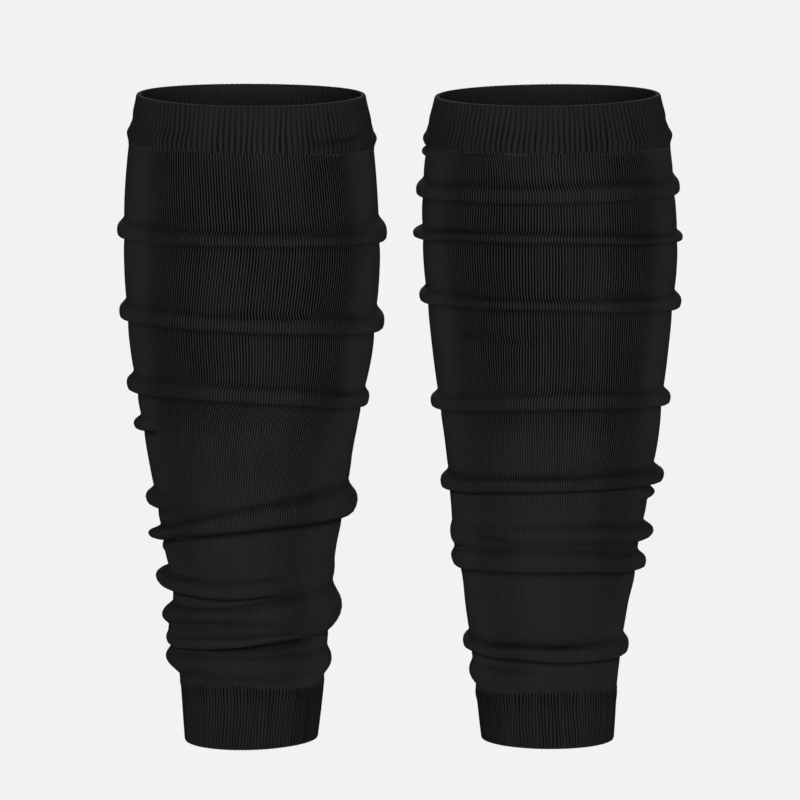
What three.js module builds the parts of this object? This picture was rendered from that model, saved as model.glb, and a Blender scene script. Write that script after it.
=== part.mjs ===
// A pair of knitted leg warmers, in the form they have when worn on two lower legs and pushed
// down into slouch folds. Each one is three knitted pieces: a broad-rib top band below the knee,
// a long fine-knit tube gathered into rolls, and a broad-rib ankle cuff. All are open, hollow walls.
//
// Units are millimetres and +Z is up. The shins face -Y, so the wearer's right leg is at -X.
// The origin is midway between the two legs at half the height of the top bands, where the
// elastic bands grip the legs and hold the pair up.
import * as THREE from "three";

// Driving dimensions
const LEG_SPACING = 145.4; // between the two legs' axes
const BAND_HEIGHT = 24;
const WORN_LENGTH = 317; // top edge to ankle edge, as worn
const TUBE_WALL = 1.6;
const BAND_WALL = 2.2;
const INSIDE_SHARE = 0.75; // share of a fold's reach that the inside of the tube follows
const INSIDE_SLOPE = 0.4; // most that the inside reaches out, as a share of the fold's rise
const SEAM_GAP = 0.3;
const RIB_COUNT = 132; // ribs all round a band or cuff
const RIB_RELIEF = 0.55;
const TUBE_SIDES = 28; // points round a smooth ring

const TOP_Z = BAND_HEIGHT / 2;
const KNIT_COLOUR = 0x1c1c1c;

// A drop is a distance below the top edge. Each section gives the outside of the cloth there:
// how far its middle lies from the leg's axis, its half width, and its reach forwards and back.
const SECTION_COLUMNS = ["drop", "axis", "side", "front", "back"];
const RIGHT_SECTIONS = table(SECTION_COLUMNS, [
  [0, 0.2, 55.8, 53.0, 51.0],
  [24, 0.2, 59.5, 55.0, 55.5],
  [50, 0.2, 61.7, 56.5, 61.0],
  [78, 0.6, 62.5, 57.0, 65.0],
  [110, 0.4, 60.7, 55.2, 64.5],
  [128, 0.3, 58.7, 53.8, 61.8],
  [150, -0.3, 54.7, 51.5, 58.0],
  [176, -0.6, 50.0, 48.6, 52.6],
  [200, 0.0, 46.3, 46.0, 47.5],
  [222, -0.4, 42.0, 43.8, 44.0],
  [245, 0.6, 38.8, 41.3, 41.0],
  [263, -1.5, 39.2, 40.2, 40.0],
  [286, 0.3, 35.4, 38.6, 38.5],
  [318, -0.2, 32.2, 37.2, 38.0],
]);
const LEFT_SECTIONS = table(SECTION_COLUMNS, [
  [0, -0.8, 54.9, 53.0, 51.0],
  [24, -0.6, 59.2, 55.0, 55.5],
  [50, -0.3, 61.6, 56.5, 61.0],
  [78, 0.5, 62.0, 57.0, 65.0],
  [110, 0.6, 59.2, 55.2, 64.5],
  [150, 0.8, 54.6, 51.5, 58.0],
  [170, 1.2, 52.0, 49.7, 54.6],
  [200, 0.0, 47.9, 46.0, 47.5],
  [222, -1.2, 45.0, 43.8, 44.0],
  [236, -0.1, 42.3, 42.3, 42.0],
  [250, -1.0, 39.8, 41.0, 40.5],
  [286, -1.1, 35.0, 38.6, 38.5],
  [318, -0.4, 32.1, 37.2, 38.0],
]);

// Each fold is a roll of cloth with a crease under it. Its lists hold a value for each side of
// the leg, in the order -X, front, +X, back: at is the crease's drop, out is how far the roll
// stands off the leg, and rise is its height above the crease. tuck is 0 for a soft swell and 1
// for a roll that hangs over its crease.
const RIGHT_FOLDS = [
  { at: [70.1, 69.3, 72.4, 71.5], out: [3.2, 3, 3.5, 3], rise: [11, 9, 14, 12], tuck: 1 },
  { at: [110.1, 110.4, 116, 112.8], out: [3.6, 3, 4.1, 3.2], rise: [11, 10, 13.5, 12], tuck: 1 },
  { at: [145.7, 144.4, 152.8, 149.5], out: [4.2, 3, 3, 3], rise: [11, 10, 10.5, 10.5], tuck: 1 },
  { at: [165, 160, 167, 166], out: [4.2, 0.1, 0, 2.4], rise: [8.6, 6, 7, 8], tuck: 0.8 },
  { at: [202.4, 197, 184, 199], out: [5, 1.2, 0, 2.6], rise: [11, 9, 8, 10], tuck: 0.7 },
  { at: [220.6, 209, 207.4, 214.5], out: [7, 4, 5.6, 4.6], rise: [11.5, 9, 20, 10], tuck: 0.7 },
  { at: [240, 242, 236.5, 240], out: [7.8, 2.4, 0.2, 3.6], rise: [9.5, 11, 9, 10], tuck: 0.5 },
  { at: [260.5, 255.5, 264, 260], out: [4.2, 2.6, 5.6, 3.4], rise: [12.5, 10, 26.5, 13], tuck: 0.2 },
  { at: [269.5, 266, 268.5, 269], out: [0.9, 3, 0.3, 1.6], rise: [6.5, 8.5, 4, 7], tuck: 0.9 },
  { at: [284, 283, 284.5, 284], out: [4.8, 2.2, 2.8, 3], rise: [14, 13, 15, 12.5], tuck: 0.4 },
];
const LEFT_FOLDS = [
  { at: [29.8, 27.6, 28.4, 28], out: [1.9, 0, 0, 0.4], rise: [5.2, 3.5, 3.4, 3], tuck: 0.4 },
  { at: [49.9, 48.3, 48.7, 49.5], out: [3.2, 2.8, 2.7, 2.8], rise: [10, 10.5, 11, 11], tuck: 1 },
  { at: [70.2, 67.1, 71.6, 70], out: [4.5, 2.6, 2.6, 2.8], rise: [7, 6, 6, 7], tuck: 0.9 },
  { at: [102, 100.1, 105.5, 104], out: [3.5, 2.8, 3.8, 2.8], rise: [9.5, 9, 10.5, 10.5], tuck: 1 },
  { at: [153.8, 149.9, 152.3, 152.5], out: [4, 3, 3.8, 3.2], rise: [10, 10, 9.5, 11], tuck: 1 },
  { at: [193.6, 189.8, 190.6, 192.5], out: [4.1, 3, 5.8, 3.4], rise: [11, 8.5, 11, 10], tuck: 1 },
  { at: [199.5, 195.5, 198, 198.5], out: [0.3, 0, 2.9, 0.8], rise: [5, 4.5, 6.6, 5], tuck: 0.1 },
  { at: [219.8, 215.5, 219, 218], out: [1.2, 1.6, 6, 2], rise: [12, 10, 11, 10], tuck: 0.5 },
  { at: [231.6, 229.8, 233, 232], out: [2.6, 3.2, 4.6, 3.4], rise: [10.8, 11, 10.4, 10.5], tuck: 1 },
  { at: [271.9, 274.5, 274.4, 273.5], out: [3.6, 3, 3.4, 3], rise: [9.5, 9, 11.5, 11], tuck: 1 },
  { at: [289.4, 287, 288, 288], out: [2.4, 0.3, 0, 1.6], rise: [13, 9, 8, 11], tuck: 0.2 },
];

// Each leg's seams and top edge, as drops on the same four sides, its ankle edge beyond the worn
// length, and the low roll that the band's lower edge forms: its drop and how far it stands out.
const RIGHT_LEG = {
  side: "right",
  x: -LEG_SPACING / 2,
  sections: RIGHT_SECTIONS,
  folds: RIGHT_FOLDS,
  topEdge: [-0.8, 0.7, -0.4, -0.6],
  bandRoll: { at: [18.2, 19.5, 21, 20], out: [1.7, 0.9, 2.1, 1.2] },
  bandSeam: [23, 24, 26, 24.5],
  cuffSeam: [287.5, 285.5, 286, 286.5],
  ankleEdge: [0.4, 0.2, -1, 0],
};
const LEFT_LEG = {
  side: "left",
  x: LEG_SPACING / 2,
  sections: LEFT_SECTIONS,
  folds: LEFT_FOLDS,
  topEdge: [0.4, 0.5, -0.8, -0.4],
  bandRoll: { at: [20.8, 19.5, 19.2, 20], out: [2.2, 0.9, 2.0, 1.2] },
  bandSeam: [24.2, 23.5, 24.8, 24.5],
  cuffSeam: [292, 289, 290, 290.5],
  ankleEdge: [-0.6, -0.5, -0.2, 0],
};

// A fold's outline: up is a share of its rise above the crease and out a share of its reach,
// for a soft swell and for a tucked roll.
const FOLD_COLUMNS = ["softUp", "softOut", "tuckUp", "tuckOut"];
const OUTER_FOLD = table(FOLD_COLUMNS, [
  [1.0, 0.0, 1.0, 0.0],
  [0.8, 0.5, 0.8, 0.4],
  [0.6, 0.97, 0.6, 0.88],
  [0.42, 0.95, 0.36, 1.0],
  [0.2, 0.42, 0.16, 0.76],
  [0.0, 0.0, 0.04, 0.0],
]);
const INNER_FOLD = table(FOLD_COLUMNS, [
  [0.95, 0.0, 0.95, 0.0],
  [0.5, 1.0, 0.45, 1.0],
  [0.06, 0.0, 0.12, 0.0],
]);

function table(columns, rows) {
  return rows.map((row) => Object.fromEntries(columns.map((column, i) => [column, row[i]])));
}

// The value of a four-sided list at an angle, where 0 is +X and 90 degrees is the back.
function aroundLeg([minusX, front, plusX, back], angle) {
  const mean = (minusX + front + plusX + back) / 4;
  const across = ((plusX - minusX) / 2) * Math.cos(angle);
  const along = ((back - front) / 2) * Math.sin(angle);
  const oval = ((plusX + minusX - front - back) / 4) * Math.cos(2 * angle);
  return mean + across + along + oval;
}

// A column of the section table at any drop, by cubic interpolation.
function sectionValue(sections, column, drop) {
  const last = sections.length - 1;
  const slope = (i) => {
    const before = sections[Math.max(i - 1, 0)];
    const after = sections[Math.min(i + 1, last)];
    return (after[column] - before[column]) / (after.drop - before.drop);
  };
  let i = sections.findIndex((row) => row.drop > drop) - 1;
  i = i === -2 ? last - 1 : Math.max(i, 0);
  const [a, b] = [sections[i], sections[i + 1]];
  const span = b.drop - a.drop;
  const t = (drop - a.drop) / span;
  const bend = t * (1 - t) * span;
  return (
    THREE.MathUtils.lerp(a[column], b[column], t * t * (3 - 2 * t)) +
    bend * ((1 - t) * slope(i) - t * slope(i + 1))
  );
}

// The point at an angle and drop that lies a distance outside the leg's section.
function onLeg(leg, angle, drop, outside) {
  const value = (column) => sectionValue(leg.sections, column, drop);
  const depth = Math.sin(angle) < 0 ? value("front") : value("back");
  const width = value("side");
  const normal = new THREE.Vector2(Math.cos(angle) * depth, Math.sin(angle) * width).normalize();
  return new THREE.Vector3(
    leg.x + value("axis") + Math.cos(angle) * width + normal.x * outside,
    Math.sin(angle) * depth + normal.y * outside,
    TOP_Z - drop,
  );
}

function angles(count) {
  return Array.from({ length: count }, (_, i) => (2 * Math.PI * i) / count);
}

// A ring round the leg: dropAt and outsideAt give its height and reach at each angle.
function ring(leg, count, dropAt, outsideAt) {
  return angles(count).map((angle, i) => onLeg(leg, angle, dropAt(angle), outsideAt(angle, i)));
}

// How far a fold stands off the leg at an angle, on the outside of the tube and on its inside.
function reachOutside(fold, angle) {
  return Math.max(aroundLeg(fold.out, angle), 0);
}

function reachInside(fold, angle) {
  const steepest = INSIDE_SLOPE * aroundLeg(fold.rise, angle);
  return Math.min(INSIDE_SHARE * reachOutside(fold, angle), steepest);
}

// One ring for each row of a fold's outline, inset from the outside of the cloth.
function foldRings(leg, fold, outline, reachAt, inset) {
  return outline.map((row) => {
    const up = THREE.MathUtils.lerp(row.softUp, row.tuckUp, fold.tuck);
    const out = THREE.MathUtils.lerp(row.softOut, row.tuckOut, fold.tuck);
    return ring(
      leg,
      TUBE_SIDES,
      (angle) => aroundLeg(fold.at, angle) - up * aroundLeg(fold.rise, angle),
      (angle) => out * reachAt(fold, angle) - inset,
    );
  });
}

// The strip between two rings with the same number of points, facing away from the leg.
function strip(upper, lower, count) {
  return angles(count).flatMap((_, i) => {
    const next = (i + 1) % count;
    return [upper + i, lower + i, upper + next, upper + next, lower + i, lower + next];
  });
}

// The flat rim between an outer and an inner ring, which may differ in number, facing up.
function rim(outer, outerCount, inner, innerCount) {
  const faces = [];
  let [i, j] = [0, 0];
  while (i < outerCount || j < innerCount) {
    const [a, b] = [outer + (i % outerCount), inner + (j % innerCount)];
    if ((i + 1) / outerCount <= (j + 1) / innerCount) {
      i += 1;
      faces.push(a, outer + (i % outerCount), b);
    } else {
      j += 1;
      faces.push(a, inner + (j % innerCount), b);
    }
  }
  return faces;
}

function turnedOver(faces) {
  return faces.map((_, k) => faces[k - (k % 3) + (2 - (k % 3))]);
}

// A closed wall between the rings outside it and the rings inside it, both from the top down.
function wall(outerRings, innerRings) {
  const points = [...outerRings, ...innerRings].flat();
  const [outerCount, innerCount] = [outerRings[0].length, innerRings[0].length];
  const firstInner = outerRings.length * outerCount;
  const lastOuter = firstInner - outerCount;
  const lastInner = points.length - innerCount;
  const faces = [
    ...outerRings.slice(1).flatMap((_, k) => strip(k * outerCount, (k + 1) * outerCount, outerCount)),
    ...rim(0, outerCount, firstInner, innerCount),
    ...turnedOver(rim(lastOuter, outerCount, lastInner, innerCount)),
    ...innerRings.slice(1).flatMap((_, k) => {
      const upper = firstInner + k * innerCount;
      return turnedOver(strip(upper, upper + innerCount, innerCount));
    }),
  ];
  const geometry = new THREE.BufferGeometry().setFromPoints(points);
  geometry.setIndex(faces);
  geometry.computeVertexNormals();
  return geometry;
}

function knitPiece(name, geometry) {
  const cloth = new THREE.MeshStandardMaterial({ color: KNIT_COLOUR, roughness: 0.95, metalness: 0 });
  const mesh = new THREE.Mesh(geometry, cloth);
  mesh.name = name;
  return mesh;
}

// A broad-rib wall through levels, each a drop and a reach round the leg. Every second point
// outside lies in the groove between two ribs, and the inside is plain.
function ribbedWall(leg, levels) {
  const groove = (i) => (i % 2) * RIB_RELIEF;
  const outside = levels.map(({ drop, out }) =>
    ring(leg, 2 * RIB_COUNT, drop, (angle, i) => out(angle) - groove(i)),
  );
  const inside = levels.map(({ drop, out }) =>
    ring(leg, TUBE_SIDES, drop, (angle) => out(angle) - BAND_WALL),
  );
  return wall(outside, inside);
}

function topBand(leg) {
  const levels = [
    { drop: (angle) => aroundLeg(leg.topEdge, angle), out: () => 0 },
    {
      drop: (angle) => aroundLeg(leg.bandRoll.at, angle),
      out: (angle) => aroundLeg(leg.bandRoll.out, angle),
    },
    { drop: (angle) => aroundLeg(leg.bandSeam, angle) - SEAM_GAP / 2, out: () => 0 },
  ];
  return knitPiece(`${leg.side}_top_band`, ribbedWall(leg, levels));
}

function legTube(leg) {
  const top = (angle) => aroundLeg(leg.bandSeam, angle) + SEAM_GAP / 2;
  const bottom = (angle) => aroundLeg(leg.cuffSeam, angle) - SEAM_GAP / 2;
  const outside = [
    ring(leg, TUBE_SIDES, top, () => 0),
    ...leg.folds.flatMap((fold) => foldRings(leg, fold, OUTER_FOLD, reachOutside, 0)),
    ring(leg, TUBE_SIDES, bottom, () => 0),
  ];
  const inside = [
    ring(leg, TUBE_SIDES, top, () => -TUBE_WALL),
    ...leg.folds.flatMap((fold) => foldRings(leg, fold, INNER_FOLD, reachInside, TUBE_WALL)),
    ring(leg, TUBE_SIDES, bottom, () => -TUBE_WALL),
  ];
  return knitPiece(`${leg.side}_leg_tube`, wall(outside, inside));
}

function ankleCuff(leg) {
  const levels = [
    { drop: (angle) => aroundLeg(leg.cuffSeam, angle) + SEAM_GAP / 2, out: () => 0 },
    { drop: (angle) => WORN_LENGTH + aroundLeg(leg.ankleEdge, angle), out: () => 0 },
  ];
  return knitPiece(`${leg.side}_ankle_cuff`, ribbedWall(leg, levels));
}

function legWarmer(leg) {
  const group = new THREE.Group();
  group.add(topBand(leg), legTube(leg), ankleCuff(leg));
  return group;
}

const pair = new THREE.Group();
pair.add(legWarmer(RIGHT_LEG), legWarmer(LEFT_LEG));

export default pair;
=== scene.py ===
"""A pair of knitted leg warmers in the form they have when worn, pushed down into slouch folds.

Each one is three pieces of knit: a broad-rib top band, a fine-knit tube gathered into rolls, and a
broad-rib ankle cuff. Each piece is a thin closed shell of cloth on the form of its solid, with its
own ribs. A row of linking stitches lies on every seam between two pieces.

The tables are in millimetres, as in the solids. A drop is a distance below the top edge, and a list
of four values belongs to the sides of the leg in the order -X, front, +X, back. An angle of 0 is +X,
-90 degrees is the front and 90 degrees is the back.
"""
import math

import bpy
import numpy as np
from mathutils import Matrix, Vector


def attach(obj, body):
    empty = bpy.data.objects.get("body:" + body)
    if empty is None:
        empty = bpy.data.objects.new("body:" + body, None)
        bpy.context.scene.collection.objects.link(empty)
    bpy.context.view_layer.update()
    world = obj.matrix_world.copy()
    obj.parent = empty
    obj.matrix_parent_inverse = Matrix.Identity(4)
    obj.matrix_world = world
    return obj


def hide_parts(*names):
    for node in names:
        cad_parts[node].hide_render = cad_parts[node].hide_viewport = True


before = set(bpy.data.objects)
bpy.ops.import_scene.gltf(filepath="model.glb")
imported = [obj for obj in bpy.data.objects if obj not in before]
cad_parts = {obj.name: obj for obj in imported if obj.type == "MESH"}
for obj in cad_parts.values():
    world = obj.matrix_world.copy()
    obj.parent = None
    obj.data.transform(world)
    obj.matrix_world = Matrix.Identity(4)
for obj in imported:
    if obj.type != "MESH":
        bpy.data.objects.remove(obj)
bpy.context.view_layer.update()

MM = 0.001
TURN = 2 * math.pi

# The solids' driving dimensions
LEG_SPACING = 145.4
TOP_Z = 12.0
WORN_LENGTH = 317.0
TUBE_WALL = 1.6
BAND_WALL = 2.2
SEAM_GAP = 0.04  # the solids have 0.3, which would let light through
RIB_COUNT = 132  # broad ribs round a band or cuff
WALE_COUNT = 2 * RIB_COUNT  # fine ribs round a tube
COURSE_HEIGHT = 1.0

SECTION_COLUMNS = ("drop", "axis", "side", "front", "back")
RIGHT_SECTIONS = np.array([
    (0, 0.2, 55.8, 53.0, 51.0),
    (24, 0.2, 59.5, 55.0, 55.5),
    (50, 0.2, 61.7, 56.5, 61.0),
    (78, 0.6, 62.5, 57.0, 65.0),
    (110, 0.4, 60.7, 55.2, 64.5),
    (128, 0.3, 58.7, 53.8, 61.8),
    (150, -0.3, 54.7, 51.5, 58.0),
    (176, -0.6, 50.0, 48.6, 52.6),
    (200, 0.0, 46.3, 46.0, 47.5),
    (222, -0.4, 42.0, 43.8, 44.0),
    (245, 0.6, 38.8, 41.3, 41.0),
    (263, -1.5, 39.2, 40.2, 40.0),
    (286, 0.3, 35.4, 38.6, 38.5),
    (318, -0.2, 32.2, 37.2, 38.0),
])
LEFT_SECTIONS = np.array([
    (0, -0.8, 54.9, 53.0, 51.0),
    (24, -0.6, 59.2, 55.0, 55.5),
    (50, -0.3, 61.6, 56.5, 61.0),
    (78, 0.5, 62.0, 57.0, 65.0),
    (110, 0.6, 59.2, 55.2, 64.5),
    (150, 0.8, 54.6, 51.5, 58.0),
    (170, 1.2, 52.0, 49.7, 54.6),
    (200, 0.0, 47.9, 46.0, 47.5),
    (222, -1.2, 45.0, 43.8, 44.0),
    (236, -0.1, 42.3, 42.3, 42.0),
    (250, -1.0, 39.8, 41.0, 40.5),
    (286, -1.1, 35.0, 38.6, 38.5),
    (318, -0.4, 32.1, 37.2, 38.0),
])


def fold(at, out, rise, tuck, lean, dark, fade=None):
    """A roll of cloth with a crease under it, in the solids' terms.

    lean is how far the fine ribs have drifted towards +X at the front, and dark is how much shade is
    painted in the crease. fade, where it is given, is the two angles across the front between which
    the fold runs out.
    """
    return {"at": at, "out": out, "rise": rise, "tuck": tuck, "lean": lean, "dark": dark, "fade": fade}


RIGHT_FOLDS = [
    fold((70.1, 69.3, 72.4, 71.5), (3.2, 3, 3.5, 3), (11, 9, 14, 12), 0.85, 3.4, 0),
    fold((110.1, 111.2, 116, 112.8), (3.6, 3, 4.1, 3.2), (11, 10, 13.5, 12), 1, -1, 0.1),
    fold((145.7, 145.6, 152.8, 149.5), (4.2, 3, 3, 3), (11, 10, 10.5, 10.5), 1, -0.6, 0.1),
    fold((165, 160, 167, 166), (4.2, 0.1, 0, 2.4), (8.6, 6, 7, 8), 0.8, -4, 0.9, fade=(-176, -130)),
    fold((202.4, 197, 184, 199), (5, 1.2, 0, 2.6), (11, 9, 8, 10), 0.7, -8, 0.5, fade=(-168, -118)),
    fold((219.1, 210.1, 207.4, 214.5), (7, 3.5, 5.6, 4.6), (7.6, 12.5, 20, 10), 0.7, -9.5, 0.9),
    fold((240, 243.2, 236.5, 240), (7.8, 2.6, 0.2, 3.6), (9.5, 10.5, 9, 10), 0.85, -9.5, 0.9),
    fold((260.5, 255.5, 264, 260), (4.2, 2.6, 5.6, 3.4), (12.5, 10, 26.5, 13), 0.2, -9, 0),
    fold((269.5, 267.2, 262.2, 269), (0.9, 3, 0, 1.6), (6.5, 7, 2.5, 7), 0.9, -10, 1, fade=(-46, -14)),
    fold((284, 283, 284.5, 284), (4.8, 2.2, 2.8, 3), (14, 13, 15, 12.5), 0.15, -10, 0.1),
]
LEFT_FOLDS = [
    fold((29.8, 27.6, 28.4, 28), (1.9, 0, 0, 0.4), (5.2, 3.5, 3.4, 3), 0.4, 0, 0.1),
    fold((49.9, 48.3, 48.7, 49.5), (3.2, 2.8, 2.7, 2.8), (10, 10.5, 11, 11), 0.85, 0.8, 0),
    fold((70.2, 67.1, 71.6, 70), (4.5, 2.6, 2.6, 2.8), (7, 6, 6, 7), 0.9, 0.4, 0.3),
    fold((102, 100.1, 105.5, 104), (3.5, 2.8, 3.8, 2.8), (9.5, 6.8, 10.5, 10.5), 0.85, 0.8, 0),
    fold((153.8, 149.1, 152, 152.5), (4, 3, 3.8, 3.2), (10, 10.2, 9.5, 11), 1, 0.4, 0.05),
    fold((193.6, 189.3, 190.6, 192.5), (4.1, 3, 5.8, 3.4), (11, 8.5, 11, 10), 1, -0.6, 0.9),
    fold((199.5, 195.5, 198, 198.5), (0, 0, 2.9, 0.8), (5, 4.5, 6.6, 5), 0.1, 0.2, 0.4, fade=(-6, -46)),
    fold((219.8, 215.5, 219, 218), (1.2, 1.6, 6, 2), (12, 10, 11, 10), 0.5, 3.4, 0.2),
    fold((231.6, 229.8, 233, 232), (2.6, 2.8, 4.6, 3.4), (10.8, 13, 10.4, 10.5), 1, 5.4, 0.6),
    fold((271.9, 274.2, 274.4, 273.5), (3.6, 2.8, 3.4, 3), (9.5, 9.4, 11.5, 11), 1, 5.8, 0.8),
    fold((289.4, 287, 288, 288), (2.4, 0.3, 0, 1.6), (13, 9, 8, 11), 0.2, 6.2, 0.1),
]

# Troughs between two angles, and ridges where the depth is negative. The drop is given at both ends,
# and shear is how far the fine ribs bend towards +X as they cross it.
# start, end, start_drop, end_drop, depth, width, shear
RIGHT_WRINKLES = [
    (-78, -12, 21.6, 16.3, 0.8, 1.6, 0.4),
    (-100, -4, 62.0, 65.3, 1.2, 1.4, 0.7),
    (-160, -118, 60.0, 60.8, 0.5, 1.8, -0.5),
    (-150, -128, 102.2, 101.7, 0.4, 1.8, 0.4),
    (-62, -6, 103.5, 108.5, 0.6, 1.9, 0.5),
    (-155, -122, 136.3, 135.0, 0.5, 1.6, 0.3),
    (-62, -6, 141.5, 144.5, 0.8, 1.7, 0.6),
    (-142, -65, 198.6, 199.0, 0.5, 1.6, 0.8),
    (-216, -138, 221.6, 221.0, -1.3, 1.5, 0),
    (-64, -12, 195.4, 191.0, 0.7, 2.6, 0.5),
    (-131, -52, 237.8, 236.0, 0.2, 1.8, 0.8),
    (-75, -14, 242.8, 234.8, 0.4, 2.2, 0.5),
    (-74, -8, 265.0, 261.8, 0.9, 0.9, 0.3),
    (-74, -10, 258.6, 260.6, -1.2, 1.7, 0.4),
    (-52, 30, 261.6, 263.6, 1.1, 0.9, 0.2),
    (-143, -58, 255.0, 255.5, 0.35, 1.8, 0.8),
    (-62, -30, 254.0, 247.5, 0.6, 2.2, 0.6),
    (25, 110, 60.0, 62.0, 0.8, 1.8, -0.6),
    (70, 165, 101.0, 99.5, 0.6, 2.0, 0.5),
    (40, 120, 178.0, 183.0, 0.6, 2.0, 0.6),
    (80, 170, 228.0, 231.0, 0.7, 1.8, -0.6),
    (20, 95, 250.0, 247.0, 0.6, 2.0, 0.6),
]
LEFT_WRINKLES = [
    (-172, -128, 18.8, 20.5, 0.5, 1.8, -0.3),
    (-84, -10, 36.0, 41.6, 0.5, 1.2, 0.6),
    (-165, -125, 41.5, 40.5, 0.4, 1.8, -0.4),
    (-160, -98, 62.6, 61.7, 0.6, 1.0, -0.6),
    (-80, -2, 62.9, 68.2, 0.7, 1.0, 0.6),
    (-156, -92, 111.5, 115.6, 1.4, 1.2, 1.6),
    (-155, -114, 92.8, 91.5, 0.5, 1.6, 0.6),
    (-66, -28, 94.3, 95.9, 0.8, 1.3, 0.6),
    (-58, -8, 142.4, 145.3, 0.5, 1.8, -0.4),
    (-176, -120, 184.6, 181.0, 0.6, 1.6, 0.8),
    (-128, -60, 181.6, 181.1, 0.8, 1.6, 0.6),
    (-66, -4, 180.5, 184.2, 0.7, 1.6, 0.8),
    (-158, -102, 211.0, 215.4, 1.2, 1.5, 0.9),
    (-165, -110, 266.8, 264.8, 0.8, 1.4, 0.4),
    (-132, -44, 265.2, 265.5, 1.3, 1.4, 0.6),
    (30, 120, 88.0, 92.0, 0.7, 1.6, -0.8),
    (75, 170, 62.0, 64.0, 0.7, 1.5, 0.5),
    (20, 110, 181.0, 183.5, 0.8, 1.8, 0.6),
    (60, 165, 240.0, 244.0, 0.6, 2.0, -0.6),
    (15, 100, 263.0, 265.5, 0.7, 1.8, 0.5),
]

# How far the knit is stretched open, by drop: 1 where the grooves between the fine ribs gape.
OPENNESS = np.array([(24, 0.88), (60, 0.96), (150, 0.92), (166, 0.76), (200, 0.72), (240, 0.7), (290, 0.68)])

RIGHT_LEG = {
    "side": "right",
    "x": -LEG_SPACING / 2,
    "sections": RIGHT_SECTIONS,
    "folds": RIGHT_FOLDS,
    "wrinkles": RIGHT_WRINKLES,
    "top_edge": (-0.8, 0.7, -0.4, -0.6),
    "band_roll": {"at": (18.2, 19.5, 21, 20), "out": (1.7, 0.9, 2.1, 1.2)},
    "band_seam": (23, 24, 26, 24.5),
    "cuff_seam": (288.6, 285.8, 288, 287),
    "cuff_swell": (0, 0.1, 0.1, 0.1),
    "ankle_edge": (0.4, 0.2, -1, 0),
    "seed": 11,
}
LEFT_LEG = {
    "side": "left",
    "x": LEG_SPACING / 2,
    "sections": LEFT_SECTIONS,
    "folds": LEFT_FOLDS,
    "wrinkles": LEFT_WRINKLES,
    "top_edge": (0.4, 0.5, -0.8, -0.4),
    "band_roll": {"at": (20.8, 19.5, 19.2, 20), "out": (2.2, 0.9, 2.0, 1.2)},
    "band_seam": (24.2, 23.5, 24.8, 24.5),
    "cuff_seam": (291.4, 288.2, 291.9, 290.5),
    "cuff_swell": (0.6, 0.2, 0.3, 0.2),
    "ankle_edge": (-0.6, -0.5, -0.2, 0),
    "seed": 23,
}

# A fold's outline from its upper start to its crease: up is a share of its rise and out a share of
# its reach, for a soft swell and for a tucked roll. foot and crease are how much shade is painted
# where the roll starts and in its crease, and the ribs gape most at the foot.
FOLD_OUTLINE = np.array([
    # soft_up, soft_out, tuck_up, tuck_out, foot, crease
    (1.00, 0.00, 1.00, -0.06, 0.35, 0),
    (0.92, 0.15, 0.88, 0.12, 1.00, 0),
    (0.83, 0.40, 0.78, 0.42, 0.55, 0),
    (0.73, 0.70, 0.68, 0.72, 0.10, 0),
    (0.63, 0.90, 0.58, 0.90, 0, 0),
    (0.50, 1.00, 0.44, 1.00, 0, 0),
    (0.38, 0.90, 0.28, 1.00, 0, 0),
    (0.27, 0.64, 0.14, 0.91, 0, 0),
    (0.16, 0.30, 0.06, 0.58, 0, 0.7),
    (0.07, 0.06, 0.03, 0.14, 0, 0.8),
    (0.00, -0.05, 0.02, -0.12, 0, 1.0),
])
INNER_OUTLINE = np.array([
    (0.95, 0.0, 0.95, 0.0),
    (0.5, 1.0, 0.45, 1.0),
    (0.06, 0.0, 0.12, 0.0),
])
SMALL_FOLD = 1.0  # a fold that stands out less than this all round has every second row only
INSIDE_SHARE = 0.75  # share of a fold's reach that the inside of the tube follows
INSIDE_SLOPE = 0.4  # most that the inside reaches out, as a share of the fold's rise
DEEPEST_CREASE = 0.45
LEAST_STEP = 0.05  # between one ring and the next down the leg
FOOT_SHADE = 0.16  # how much shade is painted on the start of a roll at the sides of the leg
FOOT_SIDES = (0.2, 0.6)  # where those sides begin and are full, as a share of the half width
FLAT_REACH, FULL_REACH = 0.2, 1.6  # a roll's painted shades come in as its reach grows between these
ROLL_REACH = 2.5  # and its cloth is drawn tight from here on
PULLED_SPAN = (0.1, 0.95)  # part of a roll, from its crease up, where the knit gapes less
CREASE_WANDER = 0.4  # how far a crease strays between the four sides
REACH_WANDER = 0.16  # share by which a roll's reach varies there
RISE_WANDER = 0.06
WRINKLE_SHADE = 0.6  # shade painted in a wrinkle for each millimetre of its depth


def around_leg(four, angle):
    """The value of a four-sided list at an angle."""
    minus_x, front, plus_x, back = four
    mean = sum(four) / 4
    across = (plus_x - minus_x) / 2 * np.cos(angle)
    along = (back - front) / 2 * np.sin(angle)
    oval = (plus_x + minus_x - front - back) / 4 * np.cos(2 * angle)
    return mean + across + along + oval


def section_value(sections, column, drop):
    """A column of a section table at any drop, by cubic interpolation."""
    drops = sections[:, 0]
    values = sections[:, SECTION_COLUMNS.index(column)]
    last = len(drops) - 1
    before = np.maximum(np.arange(last + 1) - 1, 0)
    after = np.minimum(np.arange(last + 1) + 1, last)
    slopes = (values[after] - values[before]) / (drops[after] - drops[before])
    i = np.clip(np.searchsorted(drops, drop, side="right") - 1, 0, last - 1)
    span = drops[i + 1] - drops[i]
    t = (drop - drops[i]) / span
    bend = t * (1 - t) * span * ((1 - t) * slopes[i] - t * slopes[i + 1])
    return values[i] + (values[i + 1] - values[i]) * t * t * (3 - 2 * t) + bend


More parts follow.
